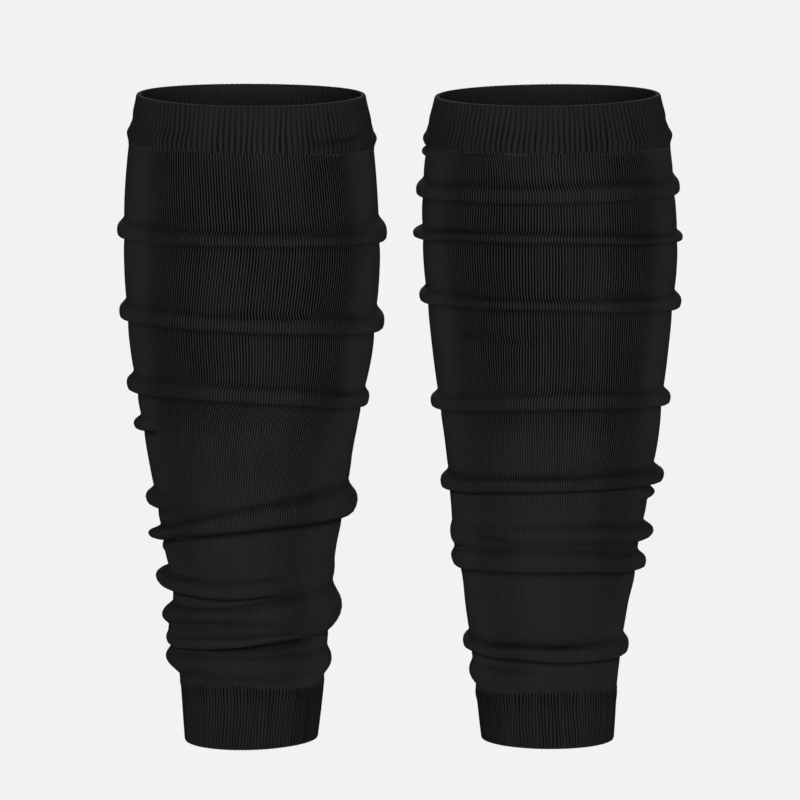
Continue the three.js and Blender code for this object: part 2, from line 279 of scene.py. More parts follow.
def on_leg(leg, angle, drop, out):
    """Points, in metres, that lie a distance outside the leg's section."""
    side = section_value(leg["sections"], "side", drop)
    front = section_value(leg["sections"], "front", drop)
    back = section_value(leg["sections"], "back", drop)
    depth = np.where(np.sin(angle) < 0, front, back)
    normal_x = np.cos(angle) * depth
    normal_y = np.sin(angle) * side
    length = np.hypot(normal_x, normal_y)
    x = leg["x"] + section_value(leg["sections"], "axis", drop) + np.cos(angle) * side
    x = x + normal_x / length * out
    y = np.sin(angle) * depth + normal_y / length * out
    return np.stack((x, y, TOP_Z - drop), axis=-1) * MM


def uneven_field(seed, waves, tallest):
    """A smooth, uneven field between about -1 and 1: waves round the leg, slow along it."""
    rng = np.random.default_rng(seed)
    along = rng.uniform(-1, 1, len(waves)) * TURN / tallest
    phase = rng.uniform(0, TURN, len(waves))

    def field(angle, drop):
        total = sum(np.sin(n * angle + a * drop + p) for n, a, p in zip(waves, along, phase))
        return total / math.sqrt(len(waves))

    return field


def smooth_step(low, high, value):
    t = np.clip((value - low) / (high - low), 0, 1)
    return t * t * (3 - 2 * t)


class Cloth:
    """A surface of rings that run round a leg, from the top down, ready to become a mesh."""

    def __init__(self, leg, columns, columns_a_wale):
        self.leg = leg
        self.columns = columns
        self.columns_a_wale = columns_a_wale
        self.rings = []

    def ring(self, angle, drop, out, painted_groove_shade=0.0, crease=0.0):
        """One ring, with the shade painted in its grooves and the shade painted over all of it."""
        shape = np.zeros(self.columns)
        points = on_leg(self.leg, angle + shape, drop + shape, out + shape)
        self.rings.append({"points": points, "painted_groove_shade": painted_groove_shade + shape, "crease": crease + shape})

    def joined(self, key):
        return np.concatenate([ring[key] for ring in self.rings])

    def courses(self):
        """How far along the cloth each ring lies, counted in rows of stitches."""
        steps = [0.0]
        for upper, lower in zip(self.rings, self.rings[1:]):
            step = np.linalg.norm(lower["points"] - upper["points"], axis=1)
            steps.append(float(step.mean()) / (COURSE_HEIGHT * MM))
        return np.cumsum(steps)


def grid_faces(first, ring_count, columns, outward, closed):
    """Quads between successive rings of equal number, and where closed, from the last to the first."""
    rows = np.arange(ring_count if closed else ring_count - 1)
    row, column = np.meshgrid(rows, np.arange(columns), indexing="ij")
    after = (column + 1) % columns
    below = (row + 1) % ring_count
    corners = [row * columns + column, below * columns + column, below * columns + after,
               row * columns + after]
    if not outward:
        corners.reverse()
    return first + np.stack([c.ravel() for c in corners], axis=1)


def grid_uvs(courses, columns, columns_a_wale, outward, closed):
    """The wale and course at each corner of those quads, counted on past the last column."""
    heights = list(courses)
    if closed:
        heights.append(courses[-1] + 1)
    row, column = np.meshgrid(np.arange(len(heights) - 1), np.arange(columns), indexing="ij")
    heights = np.array(heights)
    u = [column, column, column + 1, column + 1]
    v = [heights[row], heights[row + 1], heights[row + 1], heights[row]]
    if not outward:
        u.reverse()
        v.reverse()
    u = np.stack([c.ravel() for c in u], axis=1) / columns_a_wale
    v = np.stack([c.ravel() for c in v], axis=1)
    return np.stack((u, v), axis=-1).reshape(-1, 2)


def rim_faces(outer, outer_count, inner, inner_count, upward):
    """Triangles between an outer and an inner ring that differ in number."""
    faces = []
    i = j = 0
    while i < outer_count or j < inner_count:
        a, b = outer + i % outer_count, inner + j % inner_count
        if (i + 1) / outer_count <= (j + 1) / inner_count:
            i += 1
            c = outer + i % outer_count
        else:
            j += 1
            c = inner + j % inner_count
        faces.append((a, c, b) if upward else (b, c, a))
    return faces


def cloth_object(name, points, faces, material, uvs=None, shades=None):
    """A mesh object with its knit coordinates, and the shade painted in its grooves and over the cloth."""
    mesh = bpy.data.meshes.new(name)
    mesh.from_pydata(points.tolist(), [], faces)
    if uvs is not None:
        layer = mesh.uv_layers.new(name="Knit")
        layer.data.foreach_set("uv", np.asarray(uvs, dtype=np.float32).ravel())
    for key, values in (shades or {}).items():
        shade = mesh.attributes.new(key, "FLOAT", "POINT")
        shade.data.foreach_set("value", np.asarray(values, dtype=np.float32))
    mesh.polygons.foreach_set("use_smooth", [True] * len(mesh.polygons))
    mesh.materials.append(material)
    mesh.validate()
    obj = bpy.data.objects.new(name, mesh)
    bpy.context.scene.collection.objects.link(obj)
    return obj


def open_shell(name, outer, inner, material):
    """A closed wall between an outer cloth and a coarser inner one, with flat rims."""
    outer_total = len(outer.rings) * outer.columns
    inner_last = outer_total + (len(inner.rings) - 1) * inner.columns
    quads = np.concatenate([
        grid_faces(0, len(outer.rings), outer.columns, True, False),
        grid_faces(outer_total, len(inner.rings), inner.columns, False, False),
    ]).tolist()
    uvs = np.concatenate([
        grid_uvs(outer.courses(), outer.columns, outer.columns_a_wale, True, False),
        grid_uvs(inner.courses(), inner.columns, inner.columns_a_wale, False, False),
    ])
    rims = rim_faces(0, outer.columns, outer_total, inner.columns, True)
    rims += rim_faces(outer_total - outer.columns, outer.columns, inner_last, inner.columns, False)
    uvs = np.concatenate([uvs, np.zeros((3 * len(rims), 2))])
    points = np.concatenate([outer.joined("points"), inner.joined("points")])
    shades = {key: np.concatenate([outer.joined(key), inner.joined(key)]) for key in ("painted_groove_shade", "crease")}
    return cloth_object(name, points, quads + rims, material, uvs, shades)


def looped_shell(name, cloth, material):
    """A closed wall whose rings run down its outside, round its lower edge and up its inside."""
    faces = grid_faces(0, len(cloth.rings), cloth.columns, True, True)
    uvs = grid_uvs(cloth.courses(), cloth.columns, cloth.columns_a_wale, True, True)
    shades = {key: cloth.joined(key) for key in ("painted_groove_shade", "crease")}
    return cloth_object(name, cloth.joined("points"), faces.tolist(), material, uvs, shades)


# Tube
TUBE_COLUMNS_A_WALE = 2  # a groove and a crest
TUBE_COLUMNS = WALE_COUNT * TUBE_COLUMNS_A_WALE
INNER_TUBE_COLUMNS = 88
PLAIN_STEP = 3.0  # between rings on plain cloth
FLATTENING = 8  # how soon the cloth lies flat beside a fold
PLAIN_LEAN = 0.8  # share of the fine ribs' drift that comes before a fold
# The knit's gape sets the grooves' depth and also how much shade is painted in them: where it gapes less, at
# the sides of the calf and ankle, they come out lighter, and where it gapes more, between the front and the
# sides, they come out darker.
SIDE_SLACK = 0.9  # how much less the knit gapes at the sides of the calf
ANKLE_SLACK = 0.4  # and at the sides of the ankle
SLACK_SIDES = (0.7, 0.94)  # where those sides begin and are full, as a share of the half width
ANKLE_DROPS = (140, 200)  # where the calf ends and the ankle begins
SIDE_PULL = 0.2  # how much more it gapes between the front and the sides
PULL_SIDES = (0.3, 0.6)
OPEN_RELIEF = 0.6  # depth of a groove where the knit gapes
CLOSED_RELIEF = 0.25
ROLL_OPENNESS = 0.78  # the most that the knit gapes on a roll
FOOT_OPENNESS = 0.32  # and how much more where the roll starts
ROLL_LEAN = 0.9  # how far the fine ribs slant from the start of a roll to its lip
SEAM_EDGE = 0.2  # height of the turned edge at a seam
SEAM_TURN = 0.05  # how far that edge turns in
WALE_RELIEF = (0.92, 1.08)  # each fine rib's own depth and gape
WALE_GAPE = (0.94, 1.03)
GAPE_WANDER = 0.05  # how unevenly the knit gapes
DRIFT_WANDER = 0.5  # how far the ribs stray sideways in long waves
WALE_KINK = 0.08  # and in short ones
SLACK_WANDER = 0.3  # how far plain cloth stands off or lies in between the four sides


def between_sides(angle):
    """0 on the four sides that the lists give and 1 midway between them."""
    return np.sin(2 * angle) ** 2


def fold_share(fold, angle):
    """How much of a fold there is at each angle: all of it, or less where it runs out at the front."""
    if fold["fade"] is None:
        return 1.0
    degrees = np.degrees(np.angle(np.exp(1j * angle)))
    full, gone = fold["fade"]
    return np.where(degrees < 0, 1 - smooth_step(full, gone, degrees), 1)


def fold_shape(leg, fold, angle, number):
    """The crease's drop, the reach and the rise of a fold at each angle, made slightly uneven."""
    seed = leg["seed"] + 10 * number
    share = between_sides(angle)
    at = around_leg(fold["at"], angle) + CREASE_WANDER * share * uneven_field(seed, (3, 5, 7), 1)(angle, 0)
    reach = np.maximum(around_leg(fold["out"], angle), 0) * fold_share(fold, angle)
    reach = reach * (1 + REACH_WANDER * share * uneven_field(seed + 1, (2, 4, 7, 9), 1)(angle, 0))
    rise = around_leg(fold["rise"], angle)
    rise = rise * (1 + RISE_WANDER * share * uneven_field(seed + 2, (2, 5), 1)(angle, 0))
    return at, reach, rise


def fold_levels(leg, fold, angle, number, lean):
    """The rings of a fold, from its upper start to its crease."""
    at, reach, rise = fold_shape(leg, fold, angle, number)
    outline = FOLD_OUTLINE if max(fold["out"]) >= SMALL_FOLD else FOLD_OUTLINE[::2]
    slant = ROLL_LEAN * (1 if number % 2 else -1)
    levels = []
    stands_out = smooth_step(FLAT_REACH, FULL_REACH, reach)
    # painted shade on the start of a roll, at the sides of the leg
    in_foot = FOOT_SHADE * smooth_step(*FOOT_SIDES, np.abs(np.cos(angle)))
    for k, (soft_up, soft_out, tuck_up, tuck_out, foot, crease) in enumerate(outline):
        up = soft_up + (tuck_up - soft_up) * fold["tuck"]
        out = soft_out + (tuck_out - soft_out) * fold["tuck"]
        t = k / (len(outline) - 1)
        levels.append({
            "drop": at - up * rise,
            "out": np.maximum(out * reach, -DEEPEST_CREASE),
            "lean": lean + (fold["lean"] - lean) * t + slant * math.sin(math.pi * t) * stands_out,
            "on_roll": np.clip(out * reach / ROLL_REACH, 0, 1),
            "pulled": stands_out * fold["tuck"] * (PULLED_SPAN[0] <= up <= PULLED_SPAN[1]),
            "hatched": stands_out * foot,
            # shade painted where the roll starts and in its crease
            "crease": stands_out * (foot * in_foot + crease * fold["dark"]),
        })
    return levels


UNSHADED = {"on_roll": 0.0, "pulled": 0.0, "hatched": 0.0, "crease": 0.0}


def plain_levels(upper, lower, lean_from, lean_to):
    """Rings on the plain cloth between a crease and the next fold."""
    gap = lower["drop"] - upper["drop"]
    count = int(np.median(gap) / PLAIN_STEP)
    levels = []
    for k in range(1, count + 1):
        t = k / (count + 1)
        levels.append(UNSHADED | {
            "drop": upper["drop"] + gap * t,
            "out": upper["out"] * (1 - t) ** FLATTENING + lower["out"] * t ** FLATTENING,
            "lean": lean_from + (lean_to - lean_from) * t,
        })
    return levels


def tube_levels(leg, angle):
    """Every ring outside a tube, from its upper seam to its lower one."""
    top = around_leg(leg["band_seam"], angle) + SEAM_GAP / 2
    bottom = around_leg(leg["cuff_seam"], angle) - SEAM_GAP / 2
    plain = UNSHADED | {"lean": 0.0}
    levels = [plain | {"drop": top, "out": -SEAM_TURN}, plain | {"drop": top + SEAM_EDGE, "out": 0 * angle}]
    lean = 0.0
    for number, fold in enumerate(leg["folds"]):
        start_lean = lean + (fold["lean"] - lean) * PLAIN_LEAN
        rings = fold_levels(leg, fold, angle, number, start_lean)
        levels += plain_levels(levels[-1], rings[0], lean, start_lean) + rings
        lean = fold["lean"]
    plain["lean"] = lean
    last = plain | {"drop": bottom - SEAM_EDGE, "out": 0 * angle}
    levels += plain_levels(levels[-1], last, lean, lean)
    levels += [last, plain | {"drop": bottom, "out": -SEAM_TURN}]
    for upper, lower in zip(levels, levels[1:]):
        lower["drop"] = np.maximum(lower["drop"], upper["drop"] + LEAST_STEP)
    return levels


def wrinkles_at(leg, angle, drop):
    """How far the wrinkles push the cloth in and shift its fine ribs, and how much shade is painted in them.
    """
    depths = shears = shades = 0.0
    for start, end, start_drop, end_drop, depth, width, shear in leg["wrinkles"]:
        middle = math.radians((start + end) / 2)
        half = math.radians((end - start) / 2)
        away = np.angle(np.exp(1j * (angle - middle))) / half
        level = (start_drop + end_drop) / 2 + (end_drop - start_drop) / 2 * np.clip(away, -1, 1)
        share = smooth_step(1, 0, np.abs(away)) * np.exp(-((drop - level) / width) ** 2)
        depths = depths + depth * share
        shears = shears + shear * share
        shades = shades + WRINKLE_SHADE * depth * share
    return depths, shears, shades


def tube_outside(leg):
    seed = leg["seed"]
    angle = np.arange(TUBE_COLUMNS) * TURN / TUBE_COLUMNS
    in_groove = np.arange(TUBE_COLUMNS) % TUBE_COLUMNS_A_WALE == 0
    rng = np.random.default_rng(seed)
    own_depth = np.repeat(rng.uniform(*WALE_RELIEF, WALE_COUNT), TUBE_COLUMNS_A_WALE)
    own_gape = np.repeat(rng.uniform(*WALE_GAPE, WALE_COUNT), TUBE_COLUMNS_A_WALE)
    gape_field = uneven_field(seed + 1, (2, 3, 5), 60)
    drift_field = uneven_field(seed + 2, (2, 3, 4), 60)
    kink_field = uneven_field(seed + 3, (7, 11, 17), 16)
    slack_field = uneven_field(seed + 4, (2, 3, 5), 45)
    aside = np.abs(np.cos(angle))
    pull = SIDE_PULL * smooth_step(*PULL_SIDES, aside)
    side = smooth_step(*SLACK_SIDES, aside)
    cloth = Cloth(leg, TUBE_COLUMNS, TUBE_COLUMNS_A_WALE)
    for level in tube_levels(leg, angle):
        drop = level["drop"]
        depth, shear, shade = wrinkles_at(leg, angle, drop)
        openness = np.interp(drop, OPENNESS[:, 0], OPENNESS[:, 1])
        openness = openness - np.maximum(openness - ROLL_OPENNESS, 0) * level["pulled"]
        openness = openness + FOOT_OPENNESS * level["hatched"]
        slackness = SIDE_SLACK + (ANKLE_SLACK - SIDE_SLACK) * smooth_step(*ANKLE_DROPS, drop)
        openness = openness * (1 + GAPE_WANDER * gape_field(angle, drop)) * (1 + pull - slackness * side)
        relief = CLOSED_RELIEF + (OPEN_RELIEF - CLOSED_RELIEF) * openness
        drift = level["lean"] + shear
        drift = drift + DRIFT_WANDER * drift_field(angle, drop) + WALE_KINK * kink_field(angle, drop)
        slack = SLACK_WANDER * slack_field(angle, drop) * (1 - level["on_roll"]) * between_sides(angle)
        turned = angle + drift / section_value(leg["sections"], "side", drop)
        out = level["out"] + slack - depth - in_groove * relief * own_depth
        # painted shade: in the grooves as far as the knit gapes, and over creases, roll starts and wrinkles
        cloth.ring(turned, drop, out, openness * own_gape, np.clip(level["crease"] + shade, 0, 1))
    return cloth


def tube_inside(leg):
    angle = np.arange(INNER_TUBE_COLUMNS) * TURN / INNER_TUBE_COLUMNS
    top = around_leg(leg["band_seam"], angle) + SEAM_GAP / 2
    bottom = around_leg(leg["cuff_seam"], angle) - SEAM_GAP / 2
    cloth = Cloth(leg, INNER_TUBE_COLUMNS, INNER_TUBE_COLUMNS / WALE_COUNT)
    cloth.ring(angle, top, -TUBE_WALL)
    for number, fold in enumerate(leg["folds"]):
        at, reach, rise = fold_shape(leg, fold, angle, number)
        reach = np.minimum(INSIDE_SHARE * reach, INSIDE_SLOPE * rise)
        for soft_up, soft_out, tuck_up, tuck_out in INNER_OUTLINE:
            up = soft_up + (tuck_up - soft_up) * fold["tuck"]
            out = soft_out + (tuck_out - soft_out) * fold["tuck"]
            cloth.ring(angle, at - up * rise, out * reach - TUBE_WALL)
    cloth.ring(angle, bottom, -TUBE_WALL)
    return cloth


# Bands and cuffs
RIB_OUTLINE = np.array([-1.0, -0.45, -0.06, 0.04, -0.06, -0.45])  # a broad rib from its groove
RIB_COLUMNS = len(RIB_OUTLINE)
RIB_OWN_RELIEF = (0.6, 1.2)  # each broad rib's own depth and gape
RIB_OWN_GAPE = (0.55, 1.1)
RIB_KINK = 0.28  # how far the broad ribs stray sideways in short waves
RIM_RIBS = 0.5  # share of the ribs' relief on the rims, and inside, where they face the other way
RIM_SCALLOP = 0.2  # and the share of it by which the rims are scalloped
FREE_EDGE = BAND_WALL / 2  # height of the rounded edge where the knit ends
RIM_STEPS = 4
SHADED_SIDES = (0.7, 1.0)  # where the shade painted on a cuff's sides begins and is full


def rib_angles():
    """Columns round a band, starting half a rib before +X so that ribs meet the solids' ribs."""
    count = RIB_COUNT * RIB_COLUMNS
    return (np.arange(count) / RIB_COLUMNS - 0.5) * TURN / RIB_COUNT


def rib_shape(leg, relief, seed):
    """How far each column lies in and how much shade is painted in its groove, with every rib slightly its
    own.
    """
    rng = np.random.default_rng(leg["seed"] + seed)
    own_depth = np.repeat(rng.uniform(*RIB_OWN_RELIEF, RIB_COUNT), RIB_COLUMNS)
    own_gape = np.repeat(rng.uniform(*RIB_OWN_GAPE, RIB_COUNT), RIB_COLUMNS)
    return np.tile(RIB_OUTLINE, RIB_COUNT) * relief * own_depth, own_gape


def edge_steps(height, wall):
    """Steps round a rim from its outside to its inside: how far along and how far out they lie."""
    turns = [math.pi * k / RIM_STEPS for k in range(1, RIM_STEPS)]
    return [(height * math.sin(turn), wall / 2 * (math.cos(turn) - 1)) for turn in turns]


def ribbed_band(leg, outside, edges, relief, seed, lean, side_shade=0.0):
    """A broad-rib cloth through levels outside it, then up its inside.

    outside lists each level's drop, reach and painted groove shade, and edges gives the heights of
    the two rims.
    side_shade is how much shade is painted on the two sides of the leg.
    """
    angle = rib_angles()
    aside = side_shade * smooth_step(*SHADED_SIDES, np.abs(np.cos(angle)))
    ribs, own_gape = rib_shape(leg, relief, seed)
    cloth = Cloth(leg, len(angle), RIB_COLUMNS)
    drift_field = uneven_field(leg["seed"] + seed, (2, 3, 5), 40)
    kink_field = uneven_field(leg["seed"] + seed + 1, (9, 14, 23, 31), 18)

    def add(drop, out, share, painted_groove_shade=0.0, pressed=0.0):
        depth, shear, shade = wrinkles_at(leg, angle, drop)
        drift = lean + shear
        drift = drift + DRIFT_WANDER * drift_field(angle, drop) + RIB_KINK * kink_field(angle, drop)
        turned = angle + drift / section_value(leg["sections"], "side", drop)
        # painted shade in the wrinkles and on the sides of the leg, on the outside only
        crease = pressed * (shade + aside)
        cloth.ring(turned, drop, out + share * ribs - pressed * depth, painted_groove_shade * own_gape, crease)

    for drop, out, painted_groove_shade in outside:
        add(drop, out, 1.0, painted_groove_shade, pressed=1.0)
    for along, inward in edge_steps(edges[1], BAND_WALL):
        add(outside[-1][0] + along + RIM_SCALLOP * ribs, outside[-1][1] + inward, RIM_RIBS)
    for drop, out, painted_groove_shade in outside[::-3]:
        add(drop, out - BAND_WALL, -RIM_RIBS)
    for along, inward in edge_steps(edges[0], BAND_WALL)[::-1]:
        add(outside[0][0] - along - RIM_SCALLOP * ribs, outside[0][1] + inward, RIM_RIBS)
    return cloth


BAND_LEVELS = 30
BAND_ROLL_HEIGHT = 3.4  # half the height of the low roll at a band's foot
DIP_ABOVE, DIP_HEIGHT = 6.5, 2.4  # how far above that roll the band dips in, and half the dip's height
DIP_DEPTH, DIP_WANDER = 0.4, 0.2  # its depth, and how much that varies
FLARE = 0.5  # share of the roll's reach that the band flares out to above it
FLARE_STARTS, FLARE_ENDS = (0, 18), (20, 25)  # the drops between which the flare grows and goes
BAND_GAPE, BAND_GAPE_GAIN = 0.45, 0.35  # how open the ribs are at the top, and how much more below
BAND_GAPE_DROPS = (4, 17)
BAND_SIDE_LIGHTENING = 0.8  # how much less shade is painted in the grooves at the sides, which come out lighter
BAND_LIGHTER_SIDES = (0.65, 0.92)


def band_levels(leg):
    """Levels down a top band: straight, then a soft dip, a low roll and the seam."""
    angle = rib_angles()
    top = around_leg(leg["top_edge"], angle) + FREE_EDGE
    bottom = around_leg(leg["band_seam"], angle) - SEAM_GAP / 2 - SEAM_EDGE
    roll_at = around_leg(leg["band_roll"]["at"], angle)
    roll_out = around_leg(leg["band_roll"]["out"], angle)
    dip_field = uneven_field(leg["seed"] + 5, (2, 3, 5), 40)
    # painted light: less shade in the grooves at the sides of the band
    slackness = 1 - BAND_SIDE_LIGHTENING * smooth_step(*BAND_LIGHTER_SIDES, np.abs(np.cos(angle)))
    levels = []
    for t in np.linspace(0, 1, BAND_LEVELS):
        drop = top + (bottom - top) * t
        swell = roll_out * np.exp(-((drop - roll_at) / BAND_ROLL_HEIGHT) ** 2)
        dip = DIP_DEPTH + DIP_WANDER * dip_field(angle, drop)
        dip = dip * np.exp(-((drop - roll_at + DIP_ABOVE) / DIP_HEIGHT) ** 2)
        flare = FLARE * roll_out * smooth_step(*FLARE_STARTS, drop) * (1 - smooth_step(*FLARE_ENDS, drop))
        # shade painted in the grooves, by how open the ribs are
        painted_groove_shade = (BAND_GAPE + BAND_GAPE_GAIN * smooth_step(*BAND_GAPE_DROPS, drop)) * slackness
        levels.append((drop, np.maximum(swell, flare) - dip, painted_groove_shade))
    return levels


CUFF_LEVELS = 26
CUFF_BELLY = 0.25  # how much fuller a cuff is halfway down
CUFF_FLARE = 0.2  # and at its lower edge
SWELL_AT, SWELL_HEIGHT = 0.1, 0.13  # the swell's place and half height, as shares of the cuff's depth
CUFF_GAPE, CUFF_GAPE_LOSS = 1.24, 0.42  # how open the ribs are under the seam, and how much less below
CUFF_GAPE_SPAN = (0.05, 0.35)
CUFF_SIDE_GROOVE_SHADE = 0.35  # how much more shade is painted in the grooves at the sides, which come out darker
CUFF_GROOVE_SHADE_SIDES = (0.6, 0.95)


def cuff_levels(leg):
    """Levels down an ankle cuff, with a swell under its seam and a little fuller at its lower edge."""
    angle = rib_angles()
    top = around_leg(leg["cuff_seam"], angle) + SEAM_GAP / 2 + SEAM_EDGE
    bottom = WORN_LENGTH + around_leg(leg["ankle_edge"], angle) - FREE_EDGE
    swell = around_leg(leg["cuff_swell"], angle)
    side_groove_shade = 1 + CUFF_SIDE_GROOVE_SHADE * smooth_step(*CUFF_GROOVE_SHADE_SIDES, np.abs(np.cos(angle)))
    levels = []
    for t in np.linspace(0, 1, CUFF_LEVELS):
        drop = top + (bottom - top) * t
        out = CUFF_BELLY * math.sin(math.pi * t) + CUFF_FLARE * t ** 4
        out = out + swell * math.exp(-((t - SWELL_AT) / SWELL_HEIGHT) ** 2)
        # shade painted in the grooves: most under the seam, and more at the sides
        painted_groove_shade = (CUFF_GAPE - CUFF_GAPE_LOSS * smooth_step(*CUFF_GAPE_SPAN, t)) * side_groove_shade
        levels.append((drop, out, painted_groove_shade))
    return levels


# Linking stitches
STITCH_SIDES = 6
STITCH_LENGTH = 2.3
STITCH_RADIUS = 0.42
STITCH_OUTLINE = ((-1, 0), (-0.6, 0.85), (0.6, 0.85), (1, 0))  # along the stitch, and its thickness
STITCH_SINK = 0.45  # how far its two ends sink into the knit
STITCH_STRAY = 0.14  # the most that it strays sideways, as a share of a fine rib
STITCH_SHIFT = 0.45  # and up or down
STITCH_LENGTHS = (0.65, 1.25)
STITCH_TILT = 0.35


def linking_stitches(leg, seam, name, material, seed, lean, out):
    """A short loop of yarn over each fine rib where two pieces are linked."""
    rng = np.random.default_rng(leg["seed"] + seed)
    around = np.arange(STITCH_SIDES) * TURN / STITCH_SIDES
    points = []
    faces = []
    for wale in range(WALE_COUNT):
        angle = (wale + 0.5 + rng.uniform(-STITCH_STRAY, STITCH_STRAY)) * TURN / WALE_COUNT
        level = float(around_leg(seam, angle)) + rng.uniform(-STITCH_SHIFT, STITCH_SHIFT)
        half = STITCH_LENGTH / 2 * rng.uniform(*STITCH_LENGTHS)
        tilt = rng.uniform(-STITCH_TILT, STITCH_TILT)
        across = float(section_value(leg["sections"], "side", np.float64(level)))
        first = len(points)
        for along, size in STITCH_OUTLINE:
            ring = around if size else around[:1]
            sideways = along * tilt * half + size * STITCH_RADIUS * np.cos(ring)
            turned = angle + (lean + sideways) / across
            lift = out - STITCH_SINK * along * along + size * STITCH_RADIUS * np.sin(ring)
            points += on_leg(leg, turned, level + along * half + 0 * ring, lift).tolist()
        upper, lower, tip = first + 1, first + 1 + STITCH_SIDES, first + 1 + 2 * STITCH_SIDES
        for k in range(STITCH_SIDES):
            after = (k + 1) % STITCH_SIDES
            faces.append((first, upper + k, upper + after))
            faces.append((upper + k, lower + k, lower + after, upper + after))
            faces.append((lower + k, tip, lower + after))
    piece = cloth_object(f"{leg['side']}_{name}", np.array(points), faces, material)
    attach(piece, "root")
    return piece


# Materials
YARN_ROUGHNESS = 0.9
KNIT_SPECULAR = 0.005
STITCH_SPECULAR = 0.01
FUZZ_ROUGHNESS = 0.3
ROW_SLANT = 1.6  # how steeply the two legs of a knit stitch slant, in rows for each rib
ROW_TONE = 0.06  # how much lighter a row of stitches is than the gap to the next
ROW_RELIEF = 0.12  # its height, as a share of a groove's depth
CLOUD_SCALE, CLOUD_TONE = 45.0, 0.4  # uneven dye: its scale and how much it varies the tone
STREAK_SCALE, STREAK_TONE = (0.9, 0.12), 0.3  # ribs that catch more or less light along their length
SHADOW_SHARE = 0.03  # colour of the shadow painted at the bottom of a groove, as a share of the yarn's
BUMP_DEPTH = 0.00012  # in metres


def new_material(name):
    material = bpy.data.materials.new(name)
    material.use_nodes = True
    nodes, links = material.node_tree.nodes, material.node_tree.links
    return material, nodes, links, nodes["Principled BSDF"]


def math_node(nodes, links, operation, *inputs):
    """A Math node whose inputs are sockets or plain numbers. Its output socket is returned."""
    node = nodes.new("ShaderNodeMath")
    node.operation = operation
    for socket, value in zip(node.inputs, inputs):
        if isinstance(value, (int, float)):
            socket.default_value = value
        else:
            links.new(value, socket)
    return node.outputs[0]


def attribute(nodes, name):
    node = nodes.new("ShaderNodeAttribute")
    node.attribute_name = name
    return node.outputs["Fac"]


def noise(nodes, links, coordinates, scale, detail):
    node = nodes.new("ShaderNodeTexNoise")
    node.inputs["Scale"].default_value = scale
    node.inputs["Detail"].default_value = detail
    links.new(coordinates, node.inputs["Vector"])
    return node.outputs["Fac"]


def scaled(nodes, links, vector, x, y):
    node = nodes.new("ShaderNodeVectorMath")
    node.operation = "MULTIPLY"
    node.inputs[1].default_value = (x, y, 1)
    links.new(vector, node.inputs[0])
    return node.outputs["Vector"]


def ramp(nodes, links, value, low, high):
    """A value turned into 0 below low and 1 above high, with a smooth change between."""
    node = nodes.new("ShaderNodeMapRange")
    node.interpolation_type = "SMOOTHSTEP"
    node.inputs["From Min"].default_value = low
    node.inputs["From Max"].default_value = high
    links.new(value, node.inputs["Value"])
    return node.outputs["Result"]


def varied(nodes, links, value, spread):
    """A value between 0 and 1 turned into one that varies by spread about 1."""
    return math_node(nodes, links, "MULTIPLY_ADD", value, spread, 1 - spread / 2)


def shader_colour(nodes, links, yarn, shadow, darkness, tone):
    """The yarn's colour, mixed towards the shadow's by darkness and scaled by tone."""
    mix = nodes.new("ShaderNodeMix")
    mix.data_type = "RGBA"
    mix.inputs["A"].default_value = (*yarn, 1)
    mix.inputs["B"].default_value = (*shadow, 1)
    links.new(darkness, mix.inputs["Factor"])
    colour = nodes.new("ShaderNodeVectorMath")
    colour.operation = "SCALE"
    links.new(mix.outputs["Result"], colour.inputs["Vector"])
    links.new(tone, colour.inputs["Scale"])
    return colour.outputs["Vector"]


